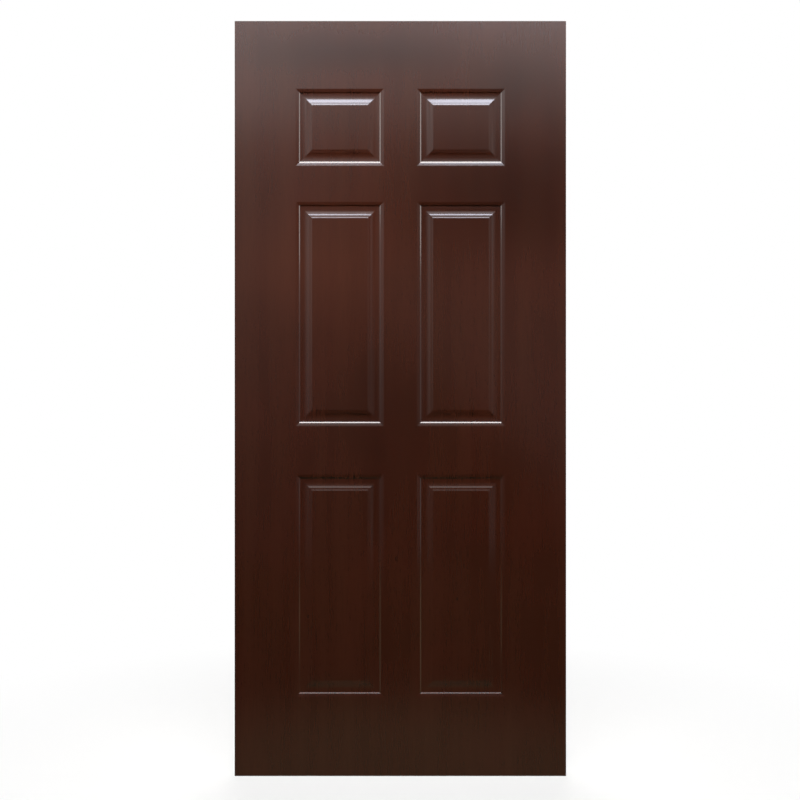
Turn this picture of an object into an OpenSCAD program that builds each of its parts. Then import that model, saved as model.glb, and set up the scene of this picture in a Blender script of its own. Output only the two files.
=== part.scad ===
// Six-panel moulded door leaf with a hollow core, in millimetres.
// +Z is up and the show face looks towards -Y. The origin is the middle of the bottom edge.
// Two pressed fibreboard skins are glued over a softwood frame and a paper honeycomb.
// The leaf is a blank: it has no hinge recesses and no lock borings, and hangs from either edge.

/* [Leaf] */
// Width over both edge bands
leaf_w = 900; // [850:1:1000]
// Height of the leaf
leaf_h = 2050; // [2000:1:2150]
// Thickness over both skins
leaf_t = 40; // [36:0.5:50]

/* [Panel layout] */
// Width of each panel, over its moulding
panel_w = 239; // [200:1:255]
// Height of the top panels
top_panel_h = 209; // [180:1:240]
// Height of the middle panels
middle_panel_h = 609; // [540:1:640]
// Height of the bottom panels
bottom_panel_h = 604; // [540:1:640]
// Flat between the two columns of panels
mullion_w = 90; // [60:1:120]
// Flat above the top panels
top_flat_h = 184; // [140:1:220]
// Flat between the top and middle panels
frieze_flat_h = 98; // [70:1:130]
// Flat between the middle and bottom panels
lock_flat_h = 131; // [100:1:170]

/* [Moulding] */
// Width of the shallow outer bevel
bevel_w = 8.5; // [6:0.5:10]
// Depth at the foot of the outer bevel
bevel_d = 1.2; // [0.8:0.1:1.6]
// Width of the steep ledge below the bevel
ledge_w = 3; // [2.5:0.5:5]
// Depth of the groove floor
groove_d = 3; // [2.5:0.1:4]
// Width of the flat groove floor
groove_w = 11; // [6:0.5:14]
// Width of the cove that climbs out of the groove
cove_w = 13.5; // [10:0.5:18]
// Depth at the top of the cove
cove_top_d = 1.3; // [1.1:0.1:1.6]
// Width of the gentle slope between the cove and the bead
quirk_w = 6; // [3:0.5:8]
// Depth at the foot of the bead
bead_foot_d = 0.7; // [0.6:0.1:0.9]
// Width of the bead round the raised field
bead_w = 2.5; // [2:0.5:4]
// Depth of the raised field below the face
field_d = 0.3; // [0.1:0.1:0.5]

/* [Skins and edge bands] */
// Thickness of each skin
skin_t = 3; // [2.5:0.1:4]
// Thickness of each edge band
band_t = 0.8; // [0.5:0.1:2]

/* [Frame] */
// Width of each stile
stile_w = 38; // [30:1:50]
// Height of the top rail
top_rail_h = 60; // [40:1:90]
// Height of the bottom rail
bottom_rail_h = 80; // [50:1:120]
// Width of each lock block
lock_block_w = 90; // [60:1:110]
// Height of each lock block
lock_block_h = 400; // [250:1:500]
// Height of the lock blocks' middle above the bottom edge
lock_block_z = 950; // [850:1:1050]
// Diameter of the air vents through the rails
vent_dia = 6; // [4:0.5:10]
// Distance of each vent from the middle of its rail
vent_x = 200; // [100:1:300]

/* [Corner staples] */
// Length of a staple's crown
crown_l = 25; // [16:1:40]
// Length of a staple's legs
leg_l = 14; // [8:1:16]
// Thickness of the staple wire
wire_t = 1.4; // [1:0.1:2]
// Distance between the two staples across one joint
staple_pitch = 30; // [15:1:36]

/* [Honeycomb] */
// Size of a cell, flat to flat
cell_h = 80; // [50:1:110]
// Thickness of the paper
paper_t = 0.6; // [0.4:0.1:1]
// Clearance of the core from the frame and the mouldings
core_gap = 0.3; // [0.2:0.1:1]
// How far glued crests press into each other
glue_lap = 0.1; // [0.05:0.05:0.3]

/* [Hidden] */

mahogany = "#3f231a";
edging = "#39201a";
pine = "#c9a878";
cardboard = "#a9814f";
steel = "#9a9da0";

left = -1;
right = 1;
curve_steps = 6;
// How far cutting forms run past the faces that they cut
overcut = 1;

// The space between the skins, and the sheet size before the edge bands go on
frame_t = leaf_t - 2 * skin_t;
sheet_w = leaf_w - 2 * band_t;
rail_l = sheet_w - 2 * stile_w;

// Panel rows as [height, middle above the bottom edge], from the top down
middle_panel_top = leaf_h - top_flat_h - top_panel_h - frieze_flat_h;
bottom_panel_top = middle_panel_top - middle_panel_h - lock_flat_h;
ROWS = [
    [top_panel_h, leaf_h - top_flat_h - top_panel_h / 2],
    [middle_panel_h, middle_panel_top - middle_panel_h / 2],
    [bottom_panel_h, bottom_panel_top - bottom_panel_h / 2]
];
column_x = (mullion_w + panel_w) / 2;

// Distances inward from a panel's outline at which the moulding changes form
ledge_foot = bevel_w + ledge_w;
cove_foot = ledge_foot + groove_w;
cove_top = cove_foot + cove_w;
bead_foot = cove_top + quirk_w;
moulding_w = bead_foot + bead_w;

// The core's cavity between the rails, and its rows of paper
cavity_bottom = bottom_rail_h + core_gap;
cavity_h = leaf_h - top_rail_h - core_gap - cavity_bottom;
ribbon_pitch = cell_h / 2;
ribbons = floor((cavity_h - glue_lap) / ribbon_pitch);
ribbon_start = cavity_bottom + (cavity_h - ribbons * ribbon_pitch - glue_lap) / 2;
cell_side = cell_h / sqrt(3);

// Points of an arc about centre, from one angle to the other
function arc(centre, radius, from, to) =
    [for (i = [0 : curve_steps]) let (a = from + (to - from) * i / curve_steps)
        centre + radius * [cos(a), sin(a)]];

// Radius and sweep of an arc that leaves a straight tangentially and ends run along and rise off it
function tangent_radius(run, rise) = (run * run + rise * rise) / (2 * rise);
function tangent_sweep(run, rise) = 2 * atan(rise / run);

// The moulding's face, as [distance inward from the outline, height above the flat face]:
// its fall from the outline to the groove, and its rise from the groove to the raised field
cove_rise = groove_d - cove_top_d;
cove_r = tangent_radius(cove_w, cove_rise);
bead_rise = bead_foot_d - field_d;
bead_r = tangent_radius(bead_w, bead_rise);
FALL = [[0, 0], [bevel_w, -bevel_d], [ledge_foot, -groove_d]];
RISE = concat(
    arc([cove_foot, cove_r - groove_d], cove_r, -90, tangent_sweep(cove_w, cove_rise) - 90),
    arc([moulding_w, -field_d - bead_r], bead_r, 90 + tangent_sweep(bead_w, bead_rise), 90)
);

// A line that runs inward from one side of a span, and its mirror image from the other side
function both_sides(line, span) =
    let (last = len(line) - 1)
    concat(
        [for (point = line) [point[0] - span / 2, point[1]]],
        [for (i = [0 : last]) [span / 2 - line[last - i][0], line[last - i][1]]]
    );

// Section across the pocket that a panel is pressed into, open above the face
module pocket_section(span) {
    polygon(concat([[-span / 2, overcut]], both_sides(FALL, span), [[span / 2, overcut]]));
}

// Section across a raised field, footed below the groove floor
module field_section(span) {
    foot_x = span / 2 - cove_foot;
    foot_z = -groove_d - overcut;
    polygon(concat([[-foot_x, foot_z]], both_sides(RISE, span), [[foot_x, foot_z]]));
}

// A form with one section across its width and another across its height, so its corners are mitred
module crossed(w, h) {
    intersection() {
        rotate([90, 0, 0]) linear_extrude(h + 2 * overcut, center = true) children(0);
        rotate([90, 0, 90]) linear_extrude(w + 2 * overcut, center = true) children(1);
    }
}

// Places its children at the middle of every panel, with $panel_h set to that panel's height
module at_panels() {
    for (row = ROWS, side = [left, right]) {
        $panel_h = row[0];
        translate([side * column_x, row[1], 0]) children();
    }
}

// The solid below a skin's pressed face, run past the sheet's edges by margin
module pressed_form(margin) {
    form_d = groove_d + skin_t + overcut;
    difference() {
        translate([-sheet_w / 2 - margin, -margin, -form_d])
            cube([sheet_w + 2 * margin, leaf_h + 2 * margin, form_d]);
        at_panels()
            crossed(panel_w, $panel_h) {
                pocket_section(panel_w);
                pocket_section($panel_h);
            }
    }
    at_panels()
        crossed(panel_w, $panel_h) {
            field_section(panel_w);
            field_section($panel_h);
        }
}

// A skin lying face up: its pressed form, hollowed by the same form one thickness lower
module flat_skin() {
    difference() {
        pressed_form(0);
        translate([0, 0, -skin_t]) pressed_form(overcut);
    }
}

module front_skin() {
    color(mahogany) translate([0, -leaf_t / 2, 0]) rotate([90, 0, 0]) flat_skin();
}

module back_skin() {
    color(mahogany) mirror([0, 1, 0]) translate([0, -leaf_t / 2, 0]) rotate([90, 0, 0]) flat_skin();
}

// A staple driven in from the face at y = 0, with its legs along +Y
module staple() {
    translate([-crown_l / 2, 0, -wire_t / 2]) {
        cube([crown_l, wire_t, wire_t]);
        for (x = [0, crown_l - wire_t])
            translate([x, 0, 0]) cube([wire_t, leg_l, wire_t]);
    }
}

// Two staples across each corner joint, on the frame's front and back
module staples() {
    joint_heights = [bottom_rail_h / 2, leaf_h - top_rail_h / 2];
    for (face = [0, 1], x = [left, right], z = joint_heights, step = [-0.5, 0.5])
        mirror([0, face, 0])
            translate([x * rail_l / 2, -frame_t / 2, z + step * staple_pitch])
                staple();
}

module corner_staples() {
    color(steel) staples();
}

// A stile beside the edge band on one side, slotted by its staples
module stile(side) {
    color(pine)
        difference() {
            translate([side * (rail_l + stile_w) / 2, 0, leaf_h / 2])
                cube([stile_w, frame_t, leaf_h], center = true);
            staples();
        }
}

module left_stile() { stile(left); }
module right_stile() { stile(right); }

// A rail between the stiles, slotted by its staples and bored by its vents
module rail(bottom, height) {
    color(pine)
        difference() {
            translate([-rail_l / 2, -frame_t / 2, bottom]) cube([rail_l, frame_t, height]);
            staples();
            for (side = [left, right])
                translate([side * vent_x, 0, bottom - overcut])
                    cylinder(h = height + 2 * overcut, d = vent_dia, $fn = 48);
        }
}

module top_rail() { rail(leaf_h - top_rail_h, top_rail_h); }
module bottom_rail() { rail(0, bottom_rail_h); }

// A block beside the stile that takes the lock
module lock_block(side) {
    color(pine)
        translate([side * (rail_l - lock_block_w) / 2, 0, lock_block_z])
            cube([lock_block_w, frame_t, lock_block_h], center = true);
}

module left_lock_block() { lock_block(left); }
module right_lock_block() { lock_block(right); }

// One corrugated strip of paper that climbs from its foot to the foot of the strip above, and back.
// flip swaps crests and troughs, so that crests meet the troughs of the strip above.
module ribbon(flip, half_l) {
    wave = 3 * cell_side;
    waves = ceil(half_l / wave) + 1;
    top = ribbon_pitch + glue_lap;
    low = flip ? top - paper_t : 0;
    high = flip ? 0 : top - paper_t;
    line = [for (i = [-waves : waves]) let (x = i * wave) each [
        [x - cell_side / 2, low], [x + cell_side / 2, low], [x + cell_side, high], [x + 2 * cell_side, high]
    ]];
    last = len(line) - 1;
    intersection() {
        polygon(concat(line, [for (i = [0 : last]) line[last - i] + [0, paper_t]]));
        translate([-half_l, 0]) square([2 * half_l, top]);
    }
}

// How far ribbon i reaches from the middle: to the stiles, or to the lock blocks beside them
function ribbon_half(i) =
    let (
        bottom = ribbon_start + i * ribbon_pitch,
        block_bottom = lock_block_z - lock_block_h / 2 - core_gap,
        block_top = lock_block_z + lock_block_h / 2 + core_gap,
        beside = bottom < block_top && bottom + ribbon_pitch + glue_lap > block_bottom
    )
    rail_l / 2 - core_gap - (beside ? lock_block_w : 0);

// Where the mouldings press into the core: deep round each panel, shallow behind its field
module moulding_relief() {
    outer_w = panel_w + 2 * core_gap;
    field_w = panel_w - 2 * moulding_w - 2 * core_gap;
    at_panels() {
        outer_h = $panel_h + 2 * core_gap;
        field_h = $panel_h - 2 * moulding_w - 2 * core_gap;
        translate([0, 0, -field_d - core_gap])
            linear_extrude(field_d + core_gap + overcut)
                square([outer_w, outer_h], center = true);
        translate([0, 0, -groove_d - core_gap])
            linear_extrude(groove_d + core_gap + overcut)
                difference() {
                    square([outer_w, outer_h], center = true);
                    square([field_w, field_h], center = true);
                }
    }
}

module honeycomb_core() {
    color(cardboard)
        rotate([90, 0, 0])
            difference() {
                linear_extrude(frame_t, center = true)
                    for (i = [0 : ribbons - 1])
                        translate([0, ribbon_start + i * ribbon_pitch]) ribbon(i % 2 == 1, ribbon_half(i));
                for (face = [0, 1])
                    mirror([0, 0, face]) translate([0, 0, frame_t / 2]) moulding_relief();
            }
}

// The edge band over the stile and both skins
module edge_band(side) {
    color(edging)
        translate([side * (leaf_w - band_t) / 2, 0, leaf_h / 2])
            cube([band_t, leaf_t, leaf_h], center = true);
}

module left_edge_band() { edge_band(left); }
module right_edge_band() { edge_band(right); }

front_skin();
back_skin();
left_stile();
right_stile();
top_rail();
bottom_rail();
left_lock_block();
right_lock_block();
honeycomb_core();
corner_staples();
left_edge_band();
right_edge_band();
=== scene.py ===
"""Looks of a moulded six-panel door leaf, seen square on under a soft light above the camera."""

import math

import bmesh
import bpy
from mathutils import Matrix, Vector


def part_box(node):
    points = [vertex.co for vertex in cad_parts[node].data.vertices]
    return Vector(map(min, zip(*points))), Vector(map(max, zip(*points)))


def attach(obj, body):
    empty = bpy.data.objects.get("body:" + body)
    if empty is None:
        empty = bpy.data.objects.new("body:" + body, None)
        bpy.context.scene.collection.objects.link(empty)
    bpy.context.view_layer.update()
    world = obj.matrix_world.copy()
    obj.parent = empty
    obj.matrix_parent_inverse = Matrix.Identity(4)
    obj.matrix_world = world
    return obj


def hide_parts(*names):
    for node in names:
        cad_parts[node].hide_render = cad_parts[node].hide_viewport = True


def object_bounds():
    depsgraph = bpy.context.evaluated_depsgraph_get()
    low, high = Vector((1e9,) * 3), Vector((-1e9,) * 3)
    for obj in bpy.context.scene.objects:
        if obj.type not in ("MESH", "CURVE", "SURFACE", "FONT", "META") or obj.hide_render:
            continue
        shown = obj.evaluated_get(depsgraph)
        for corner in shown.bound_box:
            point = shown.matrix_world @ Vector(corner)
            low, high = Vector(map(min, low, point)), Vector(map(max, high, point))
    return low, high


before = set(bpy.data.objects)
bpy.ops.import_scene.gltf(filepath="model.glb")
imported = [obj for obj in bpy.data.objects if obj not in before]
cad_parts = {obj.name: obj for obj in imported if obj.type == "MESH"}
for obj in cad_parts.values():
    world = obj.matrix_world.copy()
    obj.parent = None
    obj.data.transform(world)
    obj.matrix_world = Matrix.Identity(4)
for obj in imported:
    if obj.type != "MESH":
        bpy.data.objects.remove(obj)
cad_low, cad_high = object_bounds()

# Sizes, in metres. The leaf's own come from the frame, and +Y is away from the camera.
MM = 0.001
HALF_T = cad_high.y
LEAF_H = cad_high.z
SHEET_HALF_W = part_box("front_skin")[1].x
SKIN_T = HALF_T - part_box("left_stile")[1].y
FRONT = -1
BACK = 1
LEFT = -1
RIGHT = 1

# Panel layout: each row's height and the flat above it, from the top down
PANEL_W = 239 * MM
MULLION_W = 90 * MM
ROWS = [(209 * MM, 184 * MM), (609 * MM, 98 * MM), (604 * MM, 131 * MM)]

# The moulding's widths, measured inward from a panel's outline, and its depths below the face
BEVEL_W, BEVEL_D = 8.5 * MM, 1.2 * MM
LEDGE_W, GROOVE_D = 3 * MM, 3 * MM
GROOVE_W = 11 * MM
COVE_W, COVE_TOP_D = 13.5 * MM, 1.3 * MM
QUIRK_W, BEAD_FOOT_D = 6 * MM, 0.7 * MM
BEAD_W, FIELD_D = 2.5 * MM, 0.3 * MM
CURVE_STEPS = 14
# Radius that pressing leaves on the moulding's arrises, the least turn that gets one, the most of a
# straight that it takes up, and the steps it is drawn with
ARRIS_R = 2 * MM
ARRIS_TURN = math.radians(2)
ARRIS_SHARE = 0.4
ARRIS_STEPS = 4
# Flat kept round each panel and inside each field, so that shading stays level beyond it
LEVEL_W = 2 * MM
BAND_ARRIS_R = 0.5 * MM

# Materials of a skin's mesh, by their place in its list
PRINTED_FACE = 0
BARE_BOARD = 1

# Nodes of bare pine, by the axis that their grain runs along
ALONG_X = 0
ALONG_Z = 2
UPRIGHT_PINE = ["left_stile", "right_stile", "left_lock_block", "right_lock_block"]
LEVEL_PINE = ["top_rail", "bottom_rail"]

# Marks on the faces, in millimetres: dark pin knots in the printed grain, as [X, Z, half width, half
# height], and wide soft clouds, which also have a strength and a colour. On the back the clouds are tone
# in the print;
# on the front they are painted shade and painted light, darker along the top, on the upper right and
# lower in the middle, and paler on the upper left
DARK = "#1a0c08"
PALE = "#6a3826"
KNOT_STRENGTH = 0.6
FRONT_KNOTS = [
    (-12, 590, 5, 8), (183, 601, 4, 7), (154, 481, 4, 7), (-28, 457, 4, 7),
    (-251, 433, 4, 7), (53, 1144, 3, 5), (432, 1334, 4, 7), (438, 1179, 4, 7),
]
# Painted shade and painted light, printed into the front's colour
FRONT_PAINTED_LIGHT_AND_SHADE = [
    (300, 1610, 420, 330, 0.5, DARK), (-40, 960, 330, 330, 0.3, DARK),
    (-130, 1965, 420, 85, 0.45, DARK), (150, 640, 180, 220, 0.2, DARK),
    (330, 1880, 220, 140, 0.35, DARK), (-250, 1390, 340, 230, 0.16, PALE),
]
BACK_KNOTS = [
    (-160, 1320, 4, 7), (60, 880, 4, 7), (-310, 610, 5, 8), (205, 402, 4, 7), (330, 1502, 3, 5),
]
BACK_CLOUDS = [(-200, 1450, 300, 340, 0.3, DARK), (180, 700, 240, 300, 0.25, DARK)]
# How far each print is shifted, in metres, so that the two faces don't have the same grain
FRONT_SHIFT = 0.0
BACK_SHIFT = 3.7

# The camera stands square on to the leaf, and the floor is a square at its foot
CAMERA_LENS = 50
CAMERA_DISTANCE = 3.037
CAMERA_X = -0.001
CAMERA_Z = 1.021
FLOOR_HALF = 4.0
# Distances from the leaf over which the floor fades to white, and how far it is lifted nearer than that
FLOOR_FADE = (0.6, 1.8)
FLOOR_LIFT = 0.73
# What the leaf mirrors of the floor: a warm sheen that falls from near to far between two distances, and
# a glow on each side, as [X, strength], that ends between two distances from its own middle
SHEEN_FALL = (0.3, 1.2)
SHEEN_NEAR, SHEEN_FAR = 0.19, 0.03
RIGHT_GLOW = 0.5
SIDE_GLOWS = [(2.6, RIGHT_GLOW), (-2.6, 0.4)]
GLOW_END = (1.7, 2.2)
# What it mirrors of the studio, by the direction of the mirrored ray. Each row is one change of light:
# the measure that it follows, where it starts and ends, and the light before and after. A measure is how
# far the ray goes across to the right, aside to either hand, up, or up with a slope to the right.
STUDIO_SLOPES = {"up_to_ceiling": 0.2, "up_from_foot": 0.8}
STUDIO = {
    # A wall on each hand, darker towards its foot
    "left_wall": ("across", -0.5, 0.12, 1.0, 0.0),
    "right_wall": ("across", 0.05, 0.68, 0.0, 1.0),
    "wall_height": ("up", -0.15, 0.35, 0.1, 1.0),
    # A low wall ahead, with a sloped foot
    "low_wall_foot": ("up_from_foot", 0.02, 0.08, 0.0, 1.0),
    "low_wall_top": ("up", 0.11, 0.17, 0.14, 0.0),
    # A pale backdrop higher up between the walls, brighter to the left
    "backdrop_edge": ("up", 0.22, 0.265, 0.0, 1.0),
    "backdrop_light": ("across", -0.2, 0.0, 1.1, 0.62),
    "backdrop_end": ("aside", 0.2, 0.35, 1.0, 0.0),
    # A bright ceiling with a sloped edge, and a glow far to the right
    "ceiling": ("up_to_ceiling", 0.295, 0.335, 0.0, 0.85),
    "far_glow": ("across", 0.7, 0.85, 0.0, RIGHT_GLOW),
}
# Even light from all round
FILL = 0.04
NEUTRAL = "#fffdfa"
SKY = "#e4ecff"
# Each soft light before the leaf: the middles of its lower and upper edges, width, strength, colour,
# spread of its beam in degrees, and the rays it is kept from. The key lights the leaf, and the others are
# mirrored in it, as bright windows are. Each has a twin behind the leaf.
WIDE = 180
NOT_MIRRORED = "visible_glossy"
ONLY_MIRRORED = "visible_diffuse"
SOFTBOXES = {
    "softbox_key": ((0, -2.38, 4.16), (0, -1.62, 4.64), 2.6, 7.5, NEUTRAL, 73, NOT_MIRRORED),
    "softbox_above": ((0, -2.2, 4.0), (0, -0.1, 5.0), 4.0, 14, NEUTRAL, WIDE, ONLY_MIRRORED),
    "softbox_ahead_left": ((-0.7, -2.7, 3.2), (-0.7, -2.2, 4.0), 1.3, 12, SKY, WIDE, ONLY_MIRRORED),
    "softbox_ahead_right": ((0.7, -2.7, 3.15), (0.7, -2.2, 4.0), 1.3, 12, SKY, WIDE, ONLY_MIRRORED),
    "softbox_left": ((-2.95, -1.7, 2.1), (-2.75, -1.6, 3.6), 1.4, 3.5, NEUTRAL, WIDE, ONLY_MIRRORED),
    "softbox_right": ((2.95, -1.7, 1.85), (2.75, -1.6, 3.6), 1.4, 3.5, NEUTRAL, WIDE, ONLY_MIRRORED),
}
# The lights above would bleach the bare pine on the top edge, so it has a weaker one of its own
PINE_SOFTBOX = ((0, -0.5, 4.6), (0, 0.5, 4.6), 2.0, 10, NEUTRAL, WIDE, NOT_MIRRORED)


def linear(hex_colour):
    """Linear RGBA of an sRGB hex colour such as #3c1d11."""
    channels = [int(hex_colour[i:i + 2], 16) / 255 for i in (1, 3, 5)]
    return [c / 12.92 if c <= 0.04045 else ((c + 0.055) / 1.055) ** 2.4 for c in channels] + [1]


def add(tree, kind, inputs=None, **settings):
    """Adds a shader node with its settings, and fills its inputs with values or nodes' outputs."""
    node = tree.nodes.new("ShaderNode" + kind)
    for name, value in settings.items():
        setattr(node, name, value)
    for socket, value in (inputs or {}).items():
        if isinstance(value, bpy.types.NodeSocket):
            tree.links.new(value, node.inputs[socket])
        else:
            node.inputs[socket].default_value = value
    return node


def new_material(name):
    """An empty material, its node tree and its output node."""
    material = bpy.data.materials.new(name)
    material.use_nodes = True
    tree = material.node_tree
    tree.nodes.clear()
    return material, tree, add(tree, "OutputMaterial")


def streaks(tree, place, scale, detail=3.0):
    """Noise drawn out along a grain. scale holds the length of one wave along X, Y and Z, in metres."""
    stretch = [1 / length if length else 0 for length in scale]
    drawn = add(tree, "Mapping", {"Vector": place, "Scale": stretch}).outputs[0]
    noise = add(tree, "TexNoise", {"Vector": drawn, "Scale": 1.0, "Detail": detail, "Roughness": 0.55})
    return noise.outputs[0]


def overprint(tree, colour, ink, pattern, start, end, before=0.0, after=1.0):
    """Prints ink over a colour. Its amount eases from before to after between two values of a pattern."""
    amount = add(tree, "MapRange", {
        "Value": pattern, "From Min": start, "From Max": end, "To Min": before, "To Max": after,
    }, interpolation_type="SMOOTHSTEP").outputs[0]
    return add(tree, "Mix", {0: amount, 6: colour, 7: linear(ink)}, data_type="RGBA").outputs[2]


def melamine_mahogany(name, shift, knots, tone_and_shade_clouds):
    """Decor paper printed with mahogany, soaked in melamine resin and pressed onto the fibreboard.

    The eye gets a dark red-brown with soft upright bands, fine darker pores and a few pin knots, under a
    smooth satin resin that fogs where it mirrors the light. Wide soft clouds darken or pale it: tone in
    the print on the back, and painted shade and painted light on the front.
    """
    material, tree, output = new_material(name)
    coords = add(tree, "TexCoord").outputs["Object"]
    flat = add(tree, "Mapping", {
        "Vector": coords, "Location": (shift, 0, shift), "Scale": (1, 0, 1),
    }).outputs[0]
    # The grain sways by up to 10 mm over half a metre
    sway = streaks(tree, flat, (180 * MM, 0, 500 * MM), detail=1.0)
    sideways = add(tree, "Math", {0: sway, 1: 20 * MM}, operation="MULTIPLY").outputs[0]
    offset = add(tree, "CombineXYZ", {0: sideways}).outputs[0]
    grain = add(tree, "VectorMath", {0: flat, 1: offset}, operation="ADD").outputs[0]
    bands = streaks(tree, grain, (55 * MM, 0, 1400 * MM), detail=2.0)
    mottle = streaks(tree, flat, (160 * MM, 0, 260 * MM), detail=2.0)
    # Real pores are 0.2 mm wide, which is too fine to show, so they are drawn 2 mm wide
    figure = streaks(tree, grain, (6 * MM, 0, 70 * MM), detail=4.0)
    pores = streaks(tree, grain, (2 * MM, 0, 22 * MM), detail=2.0)
    colour = overprint(tree, linear("#39190e"), "#3f1f13", bands, 0.3, 0.7)
    colour = overprint(tree, colour, "#472015", mottle, 0.35, 0.75, after=0.45)
    colour = overprint(tree, colour, "#2f150c", figure, 0.35, 0.75, after=0.3)
    colour = overprint(tree, colour, "#22100a", pores, 0.58, 0.75, after=0.25)
    # The front's clouds are painted shade and painted light; the back's are tone in the print
    marks = [knot + (KNOT_STRENGTH, DARK) for knot in knots] + tone_and_shade_clouds
    for x, z, half_w, half_h, strength, ink in marks:
        scale = (1 / (half_w * MM), 0, 1 / (half_h * MM))
        centre = (x / half_w, 0, z / half_h)
        scaled = add(tree, "VectorMath", {0: coords, 1: scale}, operation="MULTIPLY").outputs[0]
        away = add(tree, "VectorMath", {0: scaled, 1: centre}, operation="DISTANCE").outputs[1]
        colour = overprint(tree, colour, ink, away, 0, 1, before=strength, after=0.0)
    roughness = add(tree, "MapRange", {
        "Value": figure, "From Min": 0.3, "From Max": 0.75, "To Min": 0.12, "To Max": 0.14,
    }, interpolation_type="SMOOTHSTEP").outputs[0]
    pits = add(tree, "Bump", {"Height": pores, "Strength": 0.008, "Distance": 0.1 * MM}).outputs[0]
    shader = add(tree, "BsdfPrincipled", {
        "Base Color": colour, "Roughness": roughness, "IOR": 1.62, "Normal": pits,
    })
    tree.links.new(shader.outputs[0], output.inputs[0])
    return material


def raw_fibreboard():
    """Hot-pressed fibreboard, sawn and bare: mid brown, matt, with a fine fleck of fibres."""
    material, tree, output = new_material("raw_fibreboard")
    coords = add(tree, "TexCoord").outputs["Object"]
    # Fibres are 0.1 mm thick, drawn as 1 mm flecks that show
    fleck = streaks(tree, coords, (2.5 * MM, 1 * MM, 1 * MM), detail=4.0)
    mottle = streaks(tree, coords, (40 * MM, 8 * MM, 40 * MM))
    colour = overprint(tree, linear("#5d4128"), "#84623f", fleck, 0.3, 0.7)
    colour = overprint(tree, colour, "#4c3421", mottle, 0.4, 0.8, after=0.4)
    nap = add(tree, "Bump", {"Height": fleck, "Strength": 0.4, "Distance": 0.2 * MM}).outputs[0]
    shader = add(tree, "BsdfPrincipled", {
        "Base Color": colour, "Roughness": 0.85, "Specular IOR Level": 0.2, "Normal": nap,
    })
    tree.links.new(shader.outputs[0], output.inputs[0])
    return material


def printed_abs():
    """Extruded ABS edge strip, printed to match the faces: even dark brown, a little duller."""
    material, tree, output = new_material("printed_abs")
    coords = add(tree, "TexCoord").outputs["Object"]
    lines = streaks(tree, coords, (5 * MM, 5 * MM, 180 * MM), detail=4.0)
    # Printed pores are 0.2 mm wide, drawn 1.5 mm wide so that they show
    pores = streaks(tree, coords, (1.5 * MM, 1.5 * MM, 26 * MM), detail=2.0)
    colour = overprint(tree, linear("#34180e"), "#3f2014", lines, 0.3, 0.7)
    colour = overprint(tree, colour, "#20100a", pores, 0.58, 0.75, after=0.5)
    pits = add(tree, "Bump", {"Height": pores, "Strength": 0.2, "Distance": 0.1 * MM}).outputs[0]
    shader = add(tree, "BsdfPrincipled", {
        "Base Color": colour, "Roughness": 0.42, "IOR": 1.53, "Normal": pits,
    })
    tree.links.new(shader.outputs[0], output.inputs[0])
    return material


def planed_pine(name, along):
    """Sawn and planed pine, bare. along is the axis of its grain.

    Pale straw earlywood with darker amber latewood rings, seen as lines along the grain and as arcs on
    sawn ends.
    """
    material, tree, output = new_material(name)
    coords = add(tree, "TexCoord").outputs["Object"]
    long_wave = [90 * MM] * 3
    long_wave[along] = 900 * MM
    wander = streaks(tree, coords, long_wave, detail=2.0)
    # The tree's heart lies about 90 mm to one side, so that rings cross the ends as shallow arcs
    heart = [30 * MM, 90 * MM, 90 * MM]
    heart[along] = 0
    squash = [1, 1, 1]
    squash[along] = 0
    across = add(tree, "Mapping", {"Vector": coords, "Location": heart, "Scale": squash}).outputs[0]
    from_heart = add(tree, "VectorMath", {0: across}, operation="LENGTH").outputs[1]
    # Rings wander by up to 14 mm, and are 3 mm apart
    bent = add(tree, "Math", {
        0: wander, 1: 14 * MM, 2: from_heart,
    }, operation="MULTIPLY_ADD").outputs[0]
    years = add(tree, "Math", {0: bent, 1: 3 * MM}, operation="DIVIDE").outputs[0]
    season = add(tree, "Math", {0: years}, operation="FRACT").outputs[0]
    fibre_wave = [1.2 * MM] * 3
    fibre_wave[along] = 60 * MM
    fibres = streaks(tree, coords, fibre_wave)
    colour = overprint(tree, linear("#d9bd8d"), "#b88a55", season, 0.45, 0.95)
    colour = overprint(tree, colour, "#a67c4e", fibres, 0.4, 0.75, after=0.35)
    nap = add(tree, "Bump", {"Height": fibres, "Strength": 0.25, "Distance": 0.2 * MM}).outputs[0]
    shader = add(tree, "BsdfPrincipled", {"Base Color": colour, "Roughness": 0.68, "Normal": nap})
    tree.links.new(shader.outputs[0], output.inputs[0])
    return material


def brown_paper():
    """Unbleached brown paper in glued strips: matt, with cloudy fibres."""
    material, tree, output = new_material("brown_paper")
    coords = add(tree, "TexCoord").outputs["Object"]
    cloudy = streaks(tree, coords, [6 * MM] * 3, detail=5.0)
    fibres = streaks(tree, coords, (4 * MM, 1 * MM, 1 * MM))
    colour = overprint(tree, linear("#94703f"), "#b08a58", cloudy, 0.3, 0.7)
    colour = overprint(tree, colour, "#7d5b34", fibres, 0.55, 0.8, after=0.4)
    nap = add(tree, "Bump", {"Height": fibres, "Strength": 0.2, "Distance": 0.1 * MM}).outputs[0]
    shader = add(tree, "BsdfPrincipled", {"Base Color": colour, "Roughness": 0.9, "Normal": nap})
    tree.links.new(shader.outputs[0], output.inputs[0])
    return material


def galvanised_wire():
    """Drawn steel wire, galvanised: light grey metal with a dull, slightly mottled zinc face."""
    material, tree, output = new_material("galvanised_wire")
    coords = add(tree, "TexCoord").outputs["Object"]
    spangle = streaks(tree, coords, [1.5 * MM] * 3)
    colour = overprint(tree, linear("#a9adb0"), "#c6c9cb", spangle, 0.3, 0.7)
    roughness = add(tree, "MapRange", {
        "Value": spangle, "From Min": 0.3, "From Max": 0.7, "To Min": 0.34, "To Max": 0.5,
    }, interpolation_type="SMOOTHSTEP").outputs[0]
    shader = add(tree, "BsdfPrincipled", {
        "Base Color": colour, "Metallic": 1.0, "Roughness": roughness,
    })
    tree.links.new(shader.outputs[0], output.inputs[0])
    return material


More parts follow.
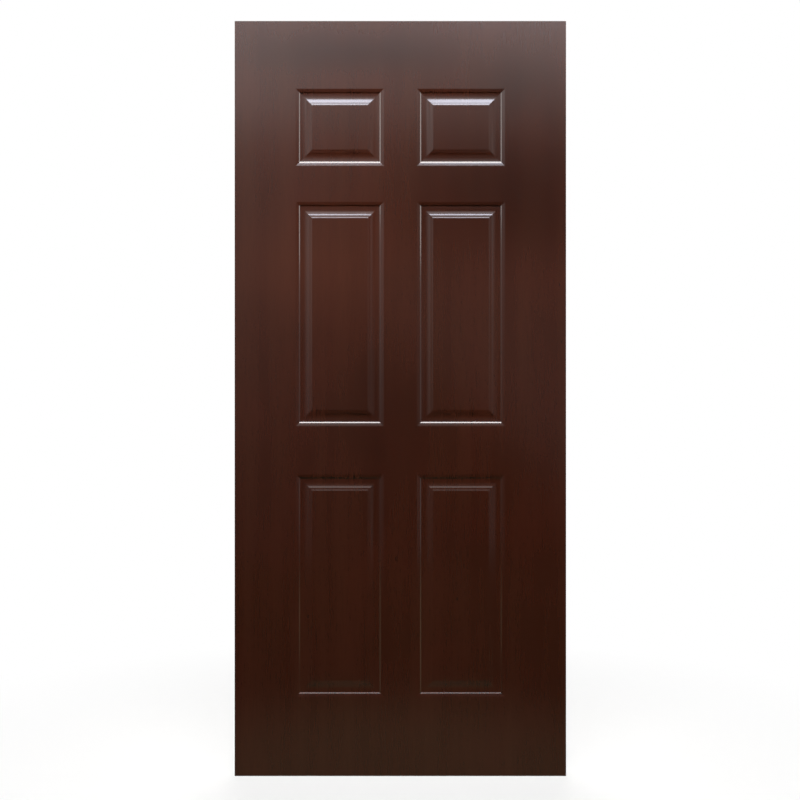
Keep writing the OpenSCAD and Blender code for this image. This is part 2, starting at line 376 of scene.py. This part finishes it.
def tangent_arc(start, run, rise, bulge):
    """Points of an arc over run and rise. It is level at its start, or at its end where bulge is true."""
    radius = (run * run + rise * rise) / (2 * rise)
    sweep = 2 * math.atan2(rise, run)
    points = []
    for i in range(CURVE_STEPS + 1):
        angle = sweep * (1 - i / CURVE_STEPS if bulge else i / CURVE_STEPS)
        along = radius * math.sin(angle)
        up = radius * (1 - math.cos(angle))
        if bulge:
            points.append((start[0] + run - along, start[1] - rise + up))
        else:
            points.append((start[0] + along, start[1] - up))
    return points


def eased(line):
    """The line with an arris radius on each corner that turns enough to need one."""
    smooth = [line[0]]
    for before, corner, after in zip(line, line[1:], line[2:]):
        to_before = Vector(before) - Vector(corner)
        to_after = Vector(after) - Vector(corner)
        turn = math.pi - to_before.angle(to_after)
        if turn < ARRIS_TURN:
            smooth.append(corner)
            continue
        room = ARRIS_SHARE * min(to_before.length, to_after.length)
        reach = min(ARRIS_R * math.tan(turn / 2), room)
        start = Vector(corner) + to_before.normalized() * reach
        end = Vector(corner) + to_after.normalized() * reach
        for i in range(ARRIS_STEPS + 1):
            t = i / ARRIS_STEPS
            smooth.append(tuple(start * (1 - t) ** 2 + Vector(corner) * 2 * t * (1 - t) + end * t * t))
    return smooth + [line[-1]]


def moulding_line():
    """The moulding's section as (distance inward from the outline, depth below the face)."""
    ledge_foot = BEVEL_W + LEDGE_W
    cove_foot = ledge_foot + GROOVE_W
    bead_foot = cove_foot + COVE_W + QUIRK_W
    cove = tangent_arc((cove_foot, GROOVE_D), COVE_W, GROOVE_D - COVE_TOP_D, bulge=False)
    bead = tangent_arc((bead_foot, BEAD_FOOT_D), BEAD_W, BEAD_FOOT_D - FIELD_D, bulge=True)
    fall = [(-LEVEL_W, 0), (0, 0), (BEVEL_W, BEVEL_D), (ledge_foot, GROOVE_D)]
    return eased(fall + cove + bead + [(bead_foot + BEAD_W + LEVEL_W, FIELD_D)])


def panel_boxes():
    """Each panel's outline as (left, right, bottom, top)."""
    boxes = []
    top = LEAF_H
    for height, flat_above in ROWS:
        top -= flat_above
        for side in (LEFT, RIGHT):
            centre = side * (MULLION_W + PANEL_W) / 2
            boxes.append((centre - PANEL_W / 2, centre + PANEL_W / 2, top - height, top))
        top -= height
    return boxes


def ring(mesh, box, inset, y):
    """Four corner points of a panel's outline, moved inward by inset."""
    left, right, bottom, top = box
    corners = [
        (left + inset, bottom + inset), (right - inset, bottom + inset),
        (right - inset, top - inset), (left + inset, top - inset),
    ]
    return [mesh.verts.new((x, y, z)) for x, z in corners]


def pressed_sheet(mesh, side, depth, material_index):
    """One surface of a skin at a depth below its face. Returns its outer edge as a loop of points."""
    line = moulding_line()
    boxes = panel_boxes()
    level = []
    for left, right, bottom, top in boxes:
        level.append((left - LEVEL_W, right + LEVEL_W, bottom - LEVEL_W, top + LEVEL_W))
    xs = sorted({x for box in level for x in box[:2]} | {-SHEET_HALF_W, SHEET_HALF_W})
    zs = sorted({z for box in level for z in box[2:]} | {0, LEAF_H})

    def y_at(fall):
        """Y of a point that lies fall below the level of this surface."""
        return side * (HALF_T - depth - fall)

    grid = {}
    for i, x in enumerate(xs):
        for j, z in enumerate(zs):
            grid[i, j] = mesh.verts.new((x, y_at(0), z))
    faces = []
    for i in range(len(xs) - 1):
        for j in range(len(zs) - 1):
            corners = [grid[i, j], grid[i + 1, j], grid[i + 1, j + 1], grid[i, j + 1]]
            cell = (xs[i], xs[i + 1], zs[j], zs[j + 1])
            if cell not in level:
                faces.append(mesh.faces.new(corners))
                continue
            box = boxes[level.index(cell)]
            outer = corners
            for inset, fall in line[1:]:
                inner = ring(mesh, box, inset, y_at(fall))
                for k in range(len(outer)):
                    n = (k + 1) % len(outer)
                    faces.append(mesh.faces.new([outer[k], outer[n], inner[n], inner[k]]))
                    # The mitre at each corner stays sharp
                    mesh.edges.get([outer[k], inner[k]]).smooth = False
                outer = inner
            faces.append(mesh.faces.new(outer))
    for face in faces:
        face.smooth = True
        face.material_index = material_index
    last_i, last_j = len(xs) - 1, len(zs) - 1
    loop = [grid[i, 0] for i in range(last_i)]
    loop += [grid[last_i, j] for j in range(last_j)]
    loop += [grid[i, last_j] for i in range(last_i, 0, -1)]
    loop += [grid[0, j] for j in range(last_j, 0, -1)]
    return loop


def add_piece(name, mesh, materials, node):
    """Turns built mesh into a piece that stands for a node of the frame, and rides with the leaf."""
    bmesh.ops.recalc_face_normals(mesh, faces=mesh.faces)
    data = bpy.data.meshes.new(name)
    mesh.to_mesh(data)
    mesh.free()
    for material in materials:
        data.materials.append(material)
    piece = bpy.data.objects.new(name, data)
    bpy.context.scene.collection.objects.link(piece)
    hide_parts(node)
    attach(piece, "root")
    return piece


def add_skin(name, side, node, face_material, core_material):
    """A pressed skin: its printed face, its bare inner face, and the sawn rim between them."""
    mesh = bmesh.new()
    face_rim = pressed_sheet(mesh, side, 0, PRINTED_FACE)
    inner_rim = pressed_sheet(mesh, side, SKIN_T, BARE_BOARD)
    for k in range(len(face_rim)):
        n = (k + 1) % len(face_rim)
        edge = mesh.faces.new([face_rim[k], face_rim[n], inner_rim[n], inner_rim[k]])
        edge.material_index = BARE_BOARD
        mesh.edges.get([face_rim[k], face_rim[n]]).smooth = False
        mesh.edges.get([inner_rim[k], inner_rim[n]]).smooth = False
    return add_piece(name, mesh, [face_material, core_material], node)


def add_edge_band(name, side, node, material):
    """A thin strip over one long edge, with its two outer arrises rounded."""
    low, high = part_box(node)
    outer = high.x if side == RIGHT else low.x
    inner = low.x if side == RIGHT else high.x
    section = [(inner, -HALF_T)]
    for end in (FRONT, BACK):
        for i in range(ARRIS_STEPS + 1):
            turn = math.pi / 2 * (i / ARRIS_STEPS if end == FRONT else 1 - i / ARRIS_STEPS)
            x = outer - side * BAND_ARRIS_R * (1 - math.sin(turn))
            section.append((x, end * (HALF_T - BAND_ARRIS_R * (1 - math.cos(turn)))))
    section.append((inner, HALF_T))
    mesh = bmesh.new()
    bottom = [mesh.verts.new((x, y, low.z)) for x, y in section]
    top = [mesh.verts.new((x, y, high.z)) for x, y in section]
    mesh.faces.new(bottom)
    mesh.faces.new(top)
    for k in range(len(section)):
        n = (k + 1) % len(section)
        face = mesh.faces.new([bottom[k], bottom[n], top[n], top[k]])
        face.smooth = 0 < k < len(section) - 2
        mesh.edges.get([bottom[k], bottom[n]]).smooth = False
        mesh.edges.get([top[k], top[n]]).smooth = False
    add_piece(name, mesh, [material], node)


def finish_node(node, material):
    """Gives a node of the frame its finish."""
    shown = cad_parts[node]
    shown.data.materials.clear()
    shown.data.materials.append(material)


def pale_paper_floor():
    """Paper floor, lifted to white for the camera. It keeps the leaf's shadow, and is mirrored dimly."""
    material, tree, output = new_material("pale_paper_floor")
    coords = add(tree, "TexCoord").outputs["Object"]
    path = add(tree, "LightPath").outputs
    seen = path["Is Camera Ray"]
    grain = streaks(tree, coords, [3 * MM] * 3)
    colour = add(tree, "Mix", {
        0: grain, 6: linear("#686868"), 7: linear("#6c6c6c"),
    }, data_type="RGBA").outputs[2]
    paper = add(tree, "BsdfDiffuse", {"Color": colour}).outputs[0]
    lift = add(tree, "Math", {0: seen, 1: FLOOR_LIFT}, operation="MULTIPLY").outputs[0]
    glow = add(tree, "Emission", {"Strength": lift}).outputs[0]
    lit = add(tree, "AddShader", {0: paper, 1: glow}).outputs[0]
    away = add(tree, "VectorMath", {0: coords}, operation="LENGTH").outputs[1]
    far = add(tree, "MapRange", {
        "Value": away, "From Min": FLOOR_FADE[0], "From Max": FLOOR_FADE[1],
    }, interpolation_type="SMOOTHSTEP").outputs[0]
    fade = add(tree, "Math", {0: far, 1: seen}, operation="MULTIPLY").outputs[0]
    white = add(tree, "Emission", {"Strength": 1.0}).outputs[0]
    shown = add(tree, "MixShader", {0: fade, 1: lit, 2: white}).outputs[0]
    mirrored = add(tree, "MapRange", {
        "Value": away, "From Min": SHEEN_FALL[0], "From Max": SHEEN_FALL[1],
        "To Min": SHEEN_NEAR, "To Max": SHEEN_FAR,
    }, interpolation_type="SMOOTHSTEP").outputs[0]
    for x, strength in SIDE_GLOWS:
        from_glow = add(tree, "VectorMath", {0: coords, 1: (x, 0, 0)}, operation="DISTANCE").outputs[1]
        glow_light = add(tree, "MapRange", {
            "Value": from_glow, "From Min": GLOW_END[0], "From Max": GLOW_END[1],
            "To Min": strength, "To Max": 0.0,
        }, interpolation_type="SMOOTHSTEP").outputs[0]
        mirrored = add(tree, "Math", {0: mirrored, 1: glow_light}, operation="MAXIMUM").outputs[0]
    sheen = add(tree, "Emission", {"Color": linear("#fff0c4"), "Strength": mirrored}).outputs[0]
    shader = add(tree, "MixShader", {0: path["Is Glossy Ray"], 1: shown, 2: sheen})
    tree.links.new(shader.outputs[0], output.inputs[0])
    return material


def add_floor():
    """A flat floor at the foot of the leaf. It throws no light back onto the dark faces."""
    mesh = bmesh.new()
    corners = [(-1, -1), (1, -1), (1, 1), (-1, 1)]
    mesh.faces.new([mesh.verts.new((x * FLOOR_HALF, y * FLOOR_HALF, 0)) for x, y in corners])
    data = bpy.data.meshes.new("floor")
    mesh.to_mesh(data)
    mesh.free()
    data.materials.append(pale_paper_floor())
    floor = bpy.data.objects.new("floor", data)
    floor.visible_diffuse = False
    bpy.context.scene.collection.objects.link(floor)


def add_softbox(name, side, lower, upper, width, strength, colour, beam, kept_from):
    """A soft light that faces one side of the leaf, set by the middles of its lower and upper edges."""
    low, high = [Vector((x, -side * y, z)) for x, y, z in (lower, upper)]
    lamp = bpy.data.lights.new(name, "AREA")
    lamp.shape = "RECTANGLE"
    lamp.size = width
    lamp.size_y = (high - low).length
    # Energy goes with area, so that strength is how bright the light looks, whatever its size
    lamp.energy = strength * math.pi * lamp.size * lamp.size_y
    lamp.color = linear(colour)[:3]
    lamp.spread = math.radians(beam)
    middle = (low + high) / 2
    upward = (high - low).normalized()
    across = (Vector((0, 0, LEAF_H / 2)) - middle).cross(upward).normalized()
    behind = across.cross(upward)
    softbox = bpy.data.objects.new(name, lamp)
    facing = Matrix((across, upward, behind)).transposed().to_4x4()
    softbox.matrix_world = Matrix.Translation(middle) @ facing
    softbox.visible_camera = False
    setattr(softbox, kept_from, False)
    bpy.context.scene.collection.objects.link(softbox)
    return softbox


def link_light(softbox, pieces, state):
    """Limits a soft light to some pieces, or keeps it off them, as state says INCLUDE or EXCLUDE."""
    group = bpy.data.collections.new(softbox.name)
    for piece in pieces:
        group.objects.link(piece)
    for entry in group.collection_objects:
        entry.light_linking.link_state = state
    softbox.light_linking.receiver_collection = group


def add_world():
    """White to the camera, and a low fill on the leaf, whose satin faces mirror a studio instead."""
    world = bpy.data.worlds.new("studio")
    bpy.context.scene.world = world
    world.use_nodes = True
    tree = world.node_tree
    tree.nodes.clear()
    path = add(tree, "LightPath").outputs
    direction = add(tree, "TexCoord").outputs["Generated"]
    axes = add(tree, "SeparateXYZ", {0: direction}).outputs
    across, up = axes["X"], axes["Z"]
    measures = {"across": across, "up": up}
    measures["aside"] = add(tree, "Math", {0: across}, operation="ABSOLUTE").outputs[0]
    for name, slope in STUDIO_SLOPES.items():
        sloped = add(tree, "Math", {0: across, 1: slope, 2: up}, operation="MULTIPLY_ADD")
        measures[name] = sloped.outputs[0]
    light = {}
    for name, (measure, start, end, before, after) in STUDIO.items():
        light[name] = add(tree, "MapRange", {
            "Value": measures[measure], "From Min": start, "From Max": end,
            "To Min": before, "To Max": after,
        }, interpolation_type="SMOOTHSTEP").outputs[0]
    walls = add(tree, "Math", {0: light["left_wall"], 1: light["right_wall"]}, operation="ADD").outputs[0]
    flank = add(tree, "Math", {0: walls, 1: light["wall_height"]}, operation="MULTIPLY").outputs[0]
    backdrop = add(tree, "Math", {
        0: light["backdrop_edge"], 1: light["backdrop_light"], 2: light["ceiling"],
    }, operation="MULTIPLY_ADD").outputs[0]
    studio = add(tree, "Math", {
        0: backdrop, 1: light["backdrop_end"], 2: flank,
    }, operation="MULTIPLY_ADD").outputs[0]
    low_wall = add(tree, "Math", {
        0: light["low_wall_foot"], 1: light["low_wall_top"],
    }, operation="MULTIPLY").outputs[0]
    for part in (low_wall, light["far_glow"]):
        studio = add(tree, "Math", {0: studio, 1: part}, operation="MAXIMUM").outputs[0]
    lit = add(tree, "Mix", {0: path["Is Glossy Ray"], 2: FILL, 3: studio}).outputs[0]
    seen = add(tree, "Math", {
        0: path["Is Camera Ray"], 1: path["Is Transmission Ray"],
    }, operation="MAXIMUM").outputs[0]
    strength = add(tree, "Mix", {0: seen, 2: lit, 3: 1.0}).outputs[0]
    background = add(tree, "Background", {"Color": linear("#ffffff"), "Strength": strength})
    output = add(tree, "OutputWorld")
    tree.links.new(background.outputs[0], output.inputs[0])


def add_camera():
    """A camera square on to the leaf, at its middle height."""
    camera = bpy.data.objects.new("camera", bpy.data.cameras.new("camera"))
    camera.data.lens = CAMERA_LENS
    camera.location = (CAMERA_X, -CAMERA_DISTANCE, CAMERA_Z)
    camera.rotation_euler = (math.pi / 2, 0, 0)
    bpy.context.scene.collection.objects.link(camera)
    bpy.context.scene.camera = camera


# The leaf
fibreboard = raw_fibreboard()
front_print = melamine_mahogany("melamine_mahogany_front", FRONT_SHIFT, FRONT_KNOTS, FRONT_PAINTED_LIGHT_AND_SHADE)
back_print = melamine_mahogany("melamine_mahogany_back", BACK_SHIFT, BACK_KNOTS, BACK_CLOUDS)
front_skin = add_skin("front_skin_pressed", FRONT, "front_skin", front_print, fibreboard)
back_skin = add_skin("back_skin_pressed", BACK, "back_skin", back_print, fibreboard)
edge_strip = printed_abs()
add_edge_band("left_edge_band_rounded", LEFT, "left_edge_band", edge_strip)
add_edge_band("right_edge_band_rounded", RIGHT, "right_edge_band", edge_strip)
upright_pine = planed_pine("planed_pine_upright", ALONG_Z)
level_pine = planed_pine("planed_pine_level", ALONG_X)
for upright in UPRIGHT_PINE:
    finish_node(upright, upright_pine)
for rail in LEVEL_PINE:
    finish_node(rail, level_pine)
finish_node("honeycomb_core", brown_paper())
finish_node("corner_staples", galvanised_wire())

# The set: a pale floor, a white world, and soft lights before the leaf with their twins behind it
add_camera()
add_floor()
bare_pine = [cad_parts[node] for node in UPRIGHT_PINE + LEVEL_PINE]
for name, place in SOFTBOXES.items():
    link_light(add_softbox(name + "_front", FRONT, *place), bare_pine + [back_skin], "EXCLUDE")
    link_light(add_softbox(name + "_back", BACK, *place), bare_pine + [front_skin], "EXCLUDE")
link_light(add_softbox("softbox_pine", FRONT, *PINE_SOFTBOX), bare_pine, "INCLUDE")
add_world()
bpy.context.scene.view_settings.view_transform = "Standard"
